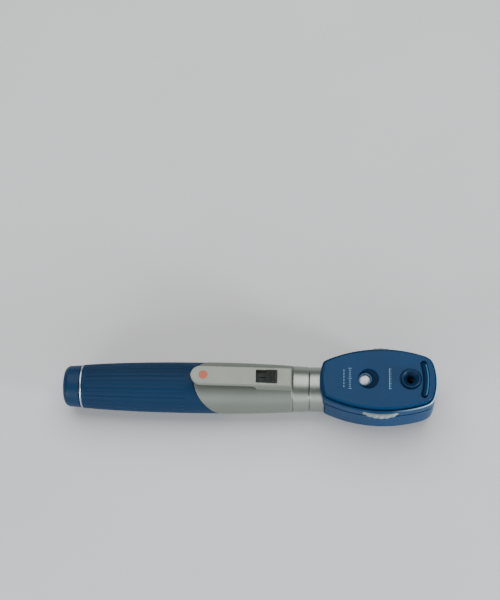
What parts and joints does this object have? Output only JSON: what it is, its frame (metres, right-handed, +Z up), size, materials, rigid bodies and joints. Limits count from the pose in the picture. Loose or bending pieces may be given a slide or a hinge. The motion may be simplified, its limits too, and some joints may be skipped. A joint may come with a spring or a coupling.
{
  "type": "ophthalmoscope",
  "caption": "Pocket direct ophthalmoscope: fluted battery handle with pocket clip and slide switch, screw-on oval head with lens dial, dioptre readout, aperture wheel and lamp.",
  "frame": {"origin": "centre of the overall box, on the surface that the instrument lies on", "axes": "+X along the handle towards the head, +Z up out of the examiner's side of the head, +Y across"},
  "size_m": [0.1756, 0.034, 0.0295],
  "materials": {
    "cap_blue": "satin",
    "grip_blue": "satin, fluted",
    "head_blue": "satin, fine grain",
    "eyecup_blue": "satin",
    "brow_blue": "soft satin",
    "readout_ring": "satin",
    "black_plastic": "matt",
    "switch_black": "satin, ribbed",
    "aperture_black": "matt",
    "shell_silver": "satin silver",
    "clip_silver": "satin silver",
    "collar_metal": "fine turned",
    "tube_metal": "satin",
    "badge_coral": "smooth inlay",
    "seal_rubber": "matt",
    "cell_jacket": "printed sleeve, plain",
    "spring_steel": "bright wire",
    "contact_brass": "bright",
    "lamp_metal": "satin nickel over brass",
    "lamp_glass": "clear",
    "filament": "dull tungsten",
    "clear_lens": "clear magnifier",
    "dial_grey": "satin grey",
    "optic_glass": "coated",
    "axle_steel": "turned",
    "mirror": "front silvered",
    "filter_green": "green glass",
    "window_glass": "clear",
    "screw_steel": "plated"
  },
  "bodies": {
    "handle": {"battery_tube": "tube_metal", "tube_seal": "seal_rubber", "battery_lower": "cell_jacket", "battery_upper": "cell_jacket", "grip_sleeve": "grip_blue", "upper_shell": "shell_silver", "clip_base": "clip_silver", "switch_bed": "black_plastic", "contact_strip": "contact_brass", "contact_insulator": "black_plastic", "contact_pin": "contact_brass", "neck_collar": "collar_metal"},
    "clip": {"clip_arm": "clip_silver", "clip_badge": "badge_coral"},
    "switch": {"switch_button": "switch_black", "switch_contact": "contact_brass"},
    "cap_contact": {"spring_plate": "spring_steel", "battery_spring": "spring_steel"},
    "cap": {"base_cap": "cap_blue"},
    "lamp": {"lamp_base": "lamp_metal", "lamp_glass": "lamp_glass", "lamp_filament": "filament"},
    "head": {"head_collar": "collar_metal", "lamp_socket": "black_plastic", "rear_shell": "head_blue", "front_shell": "head_blue", "eyecup": "eyecup_blue", "brow_rest": "brow_blue", "readout_bezel": "readout_ring", "readout_lens": "clear_lens", "dial_axle": "axle_steel", "detent_ball": "axle_steel", "detent_spring": "spring_steel", "optics_chassis": "black_plastic", "condenser_lens": "optic_glass", "projection_lens": "optic_glass", "mirror": "mirror", "aperture_axle": "axle_steel", "patient_window": "window_glass", "shell_screws": "screw_steel"},
    "dial": {"lens_dial": "dial_grey", "dial_lenses": "optic_glass"},
    "apertures": {"aperture_wheel": "aperture_black", "redfree_filter": "filter_green"}
  },
  "joints": [
    {"name": "clip_flex", "type": "hinge", "parent": "handle", "child": "clip", "pos_m": [0.00215, 0, 0.02828], "axis": [0, 1, 0], "range_deg": [0, 4], "stiffness_Nm_per_rad": 2.5},
    {"name": "switch_slide", "type": "slide", "parent": "handle", "child": "switch", "axis": [-1, 0, 0], "range_m": [0, 0.0046]},
    {"name": "cap_travel", "type": "slide", "parent": "handle", "child": "cap_contact", "axis": [-1, 0, 0], "range_m": [0, 0.005]},
    {"name": "cap_turn", "type": "hinge", "parent": "cap_contact", "child": "cap", "pos_m": [-0.08385, 0, 0.0121], "axis": [-1, 0, 0], "range_deg": [0, 1800]},
    {"name": "head_travel", "type": "slide", "parent": "handle", "child": "lamp", "axis": [1, 0, 0], "range_m": [0, 0.0045]},
    {"name": "head_turn", "type": "hinge", "parent": "lamp", "child": "head", "pos_m": [0.03215, 0, 0.0121], "axis": [1, 0, 0], "range_deg": [0, 2160]},
    {"name": "lens_dial_spin", "type": "hinge", "parent": "head", "child": "dial", "pos_m": [0.06185, 0, 0.0211], "axis": [0, 0, 1], "continuous": true},
    {"name": "aperture_wheel_spin", "type": "hinge", "parent": "head", "child": "apertures", "pos_m": [0.05025, 0, 0.0076], "axis": [1, 0, 0], "continuous": true}
  ],
  "couplings": [
    {"joint": "cap_travel", "follows": "cap_turn", "m_per_rad": 0.00015915},
    {"joint": "head_travel", "follows": "head_turn", "m_per_rad": 0.00011937}
  ]
}
